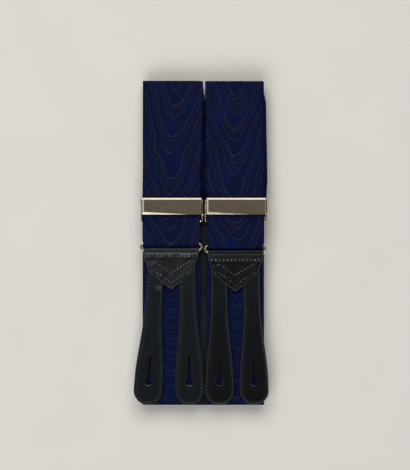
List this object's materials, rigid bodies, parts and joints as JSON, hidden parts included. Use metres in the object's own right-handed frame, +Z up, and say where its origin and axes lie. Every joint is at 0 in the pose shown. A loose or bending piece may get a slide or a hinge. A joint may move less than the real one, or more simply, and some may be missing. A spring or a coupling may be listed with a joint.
{
  "type": "dress suspenders",
  "caption": "Folded navy moire ribbon braces with gilt lever adjusters, wire rings, black leather button tabs, a back patch and an elastic rear strap.",
  "frame": {"origin": "centre of the folded pack on the surface it lies on", "axes": "+X across the straps to the right, +Y along the straps towards the top folds, +Z up out of the pack"},
  "size_m": [0.0893, 0.2158, 0.0196],
  "materials": {
    "strap": "satin",
    "elastic": "matte",
    "leather": "satin",
    "gilt_metal": "polished"
  },
  "bodies": {
    "rear_end": {"rear_leather_facing": "leather", "rear_leather_backing": "leather", "rear_tab_roots": "leather"},
    "rear_left_tab": {"rear_left_tab": "leather", "rear_left_tab_lining": "leather"},
    "rear_right_tab": {"rear_right_tab": "leather", "rear_right_tab_lining": "leather"},
    "rear_ring": {"rear_ring": "gilt_metal"},
    "elastic_end": {"rear_elastic_sewn_end": "elastic", "rear_elastic_stretch": "elastic"},
    "elastic_lower": {"rear_elastic_turn": "elastic"},
    "back": {"rear_elastic_upper": "elastic", "back_patch_outer": "leather", "back_patch_inner": "leather", "left_strap_back": "strap", "right_strap_back": "strap"},
    "left_lower": {"left_strap_lower": "strap"},
    "left_middle": {"left_strap_middle": "strap", "left_strap_middle_turn": "strap"},
    "left_upper": {"left_strap_upper": "strap", "left_strap_front_ply": "strap"},
    "left_adjuster": {"left_adjuster_frame": "gilt_metal", "left_strap_sewn_end": "strap", "left_strap_return": "strap"},
    "left_lever": {"left_adjuster_lever": "gilt_metal"},
    "left_bight": {"left_strap_bight": "strap"},
    "left_ring": {"left_ring": "gilt_metal"},
    "left_end": {"left_leather_facing": "leather", "left_leather_backing": "leather", "left_tab_roots": "leather"},
    "left_outer_tab": {"left_outer_tab": "leather", "left_outer_tab_lining": "leather"},
    "left_inner_tab": {"left_inner_tab": "leather", "left_inner_tab_lining": "leather"},
    "right_lower": {"right_strap_lower": "strap"},
    "right_middle": {"right_strap_middle": "strap", "right_strap_middle_turn": "strap"},
    "right_upper": {"right_strap_upper": "strap", "right_strap_front_ply": "strap"},
    "right_adjuster": {"right_adjuster_frame": "gilt_metal", "right_strap_sewn_end": "strap", "right_strap_return": "strap"},
    "right_lever": {"right_adjuster_lever": "gilt_metal"},
    "right_bight": {"right_strap_bight": "strap"},
    "right_ring": {"right_ring": "gilt_metal"},
    "right_end": {"right_leather_facing": "leather", "right_leather_backing": "leather", "right_tab_roots": "leather"},
    "right_outer_tab": {"right_outer_tab": "leather", "right_outer_tab_lining": "leather"},
    "right_inner_tab": {"right_inner_tab": "leather", "right_inner_tab_lining": "leather"}
  },
  "joints": [
    {"name": "rear_left_tab_flex", "type": "hinge", "parent": "rear_end", "child": "rear_left_tab", "pos_m": [-0.0093, 0.0236, 0.0011], "axis": [-1, 0, 0], "range_deg": [0, 25]},
    {"name": "rear_right_tab_flex", "type": "hinge", "parent": "rear_end", "child": "rear_right_tab", "pos_m": [0.0121, 0.0236, 0.0011], "axis": [-1, 0, 0], "range_deg": [0, 25]},
    {"name": "rear_ring_swing", "type": "hinge", "parent": "rear_ring", "child": "rear_end", "pos_m": [0.0014, 0.0011, 0.0021], "axis": [-1, 0, 0], "range_deg": [0, 45]},
    {"name": "elastic_end_swing", "type": "hinge", "parent": "elastic_end", "child": "rear_ring", "pos_m": [0.0014, -0.0033, 0.0021], "axis": [-1, 0, 0], "range_deg": [0, 60]},
    {"name": "elastic_stretch", "type": "slide", "parent": "elastic_lower", "child": "elastic_end", "axis": [0, 1, 0], "range_m": [0, 0.04], "stiffness_N_per_m": 150, "deforming": ["rear_elastic_stretch"]},
    {"name": "back_fold", "type": "hinge", "parent": "back", "child": "elastic_lower", "pos_m": [0.0014, -0.10895, 0.00335], "axis": [-1, 0, 0], "range_deg": [0, 179]},
    {"name": "left_lower_fold", "type": "hinge", "parent": "back", "child": "left_lower", "pos_m": [-0.0198, 0.10838, 0.00768], "axis": [-1, 0, 0], "range_deg": [0, 179]},
    {"name": "left_middle_fold", "type": "hinge", "parent": "left_lower", "child": "left_middle", "pos_m": [-0.0198, -0.10738, 0.0104], "axis": [1, 0, 0], "range_deg": [0, 179]},
    {"name": "left_upper_fold", "type": "hinge", "parent": "left_middle", "child": "left_upper", "pos_m": [-0.0198, 0.10806, 0.0138], "axis": [-1, 0, 0], "range_deg": [0, 179]},
    {"name": "left_adjuster_slide", "type": "slide", "parent": "left_upper", "child": "left_adjuster", "axis": [0, 1, 0], "range_m": [-0.006, 0.04], "deforming": ["left_strap_front_ply", "left_strap_return"]},
    {"name": "left_bight_slide", "type": "slide", "parent": "left_adjuster", "child": "left_bight", "axis": [0, 1, 0], "range_m": [-0.02, 0.003]},
    {"name": "left_lever_lift", "type": "hinge", "parent": "left_adjuster", "child": "left_lever", "pos_m": [-0.0194, 0.0286, 0.01795], "axis": [1, 0, 0], "range_deg": [-95, 0]},
    {"name": "left_ring_swing", "type": "hinge", "parent": "left_bight", "child": "left_ring", "pos_m": [-0.0198, -0.0002, 0.0144], "axis": [1, 0, 0], "range_deg": [-50, 0]},
    {"name": "left_end_swing", "type": "hinge", "parent": "left_ring", "child": "left_end", "pos_m": [-0.0198, -0.0046, 0.0144], "axis": [1, 0, 0], "range_deg": [-60, 0]},
    {"name": "left_outer_tab_flex", "type": "hinge", "parent": "left_end", "child": "left_outer_tab", "pos_m": [-0.0305, -0.0271, 0.0154], "axis": [1, 0, 0], "range_deg": [-25, 0]},
    {"name": "left_inner_tab_flex", "type": "hinge", "parent": "left_end", "child": "left_inner_tab", "pos_m": [-0.0091, -0.0271, 0.0154], "axis": [1, 0, 0], "range_deg": [-25, 0]},
    {"name": "right_lower_fold", "type": "hinge", "parent": "back", "child": "right_lower", "pos_m": [0.0226, 0.10763, 0.00815], "axis": [-1, 0, 0], "range_deg": [0, 179]},
    {"name": "right_middle_fold", "type": "hinge", "parent": "right_lower", "child": "right_middle", "pos_m": [0.0226, -0.10738, 0.0104], "axis": [1, 0, 0], "range_deg": [0, 179]},
    {"name": "right_upper_fold", "type": "hinge", "parent": "right_middle", "child": "right_upper", "pos_m": [0.0226, 0.10806, 0.0138], "axis": [-1, 0, 0], "range_deg": [0, 179]},
    {"name": "right_adjuster_slide", "type": "slide", "parent": "right_upper", "child": "right_adjuster", "axis": [0, 1, 0], "range_m": [-0.006, 0.04], "deforming": ["right_strap_front_ply", "right_strap_return"]},
    {"name": "right_bight_slide", "type": "slide", "parent": "right_adjuster", "child": "right_bight", "axis": [0, 1, 0], "range_m": [-0.02, 0.003]},
    {"name": "right_lever_lift", "type": "hinge", "parent": "right_adjuster", "child": "right_lever", "pos_m": [0.023, 0.0286, 0.01795], "axis": [1, 0, 0], "range_deg": [-95, 0]},
    {"name": "right_ring_swing", "type": "hinge", "parent": "right_bight", "child": "right_ring", "pos_m": [0.0226, -0.0017, 0.0144], "axis": [1, 0, 0], "range_deg": [-50, 0]},
    {"name": "right_end_swing", "type": "hinge", "parent": "right_ring", "child": "right_end", "pos_m": [0.0226, -0.0061, 0.0144], "axis": [1, 0, 0], "range_deg": [-60, 0]},
    {"name": "right_outer_tab_flex", "type": "hinge", "parent": "right_end", "child": "right_outer_tab", "pos_m": [0.0333, -0.0286, 0.0154], "axis": [1, 0, 0], "range_deg": [-25, 0]},
    {"name": "right_inner_tab_flex", "type": "hinge", "parent": "right_end", "child": "right_inner_tab", "pos_m": [0.0119, -0.0286, 0.0154], "axis": [1, 0, 0], "range_deg": [-25, 0]}
  ],
  "couplings": [
    {"joint": "left_bight_slide", "follows": "left_adjuster_slide", "ratio": -0.5},
    {"joint": "right_bight_slide", "follows": "right_adjuster_slide", "ratio": -0.5}
  ]
}
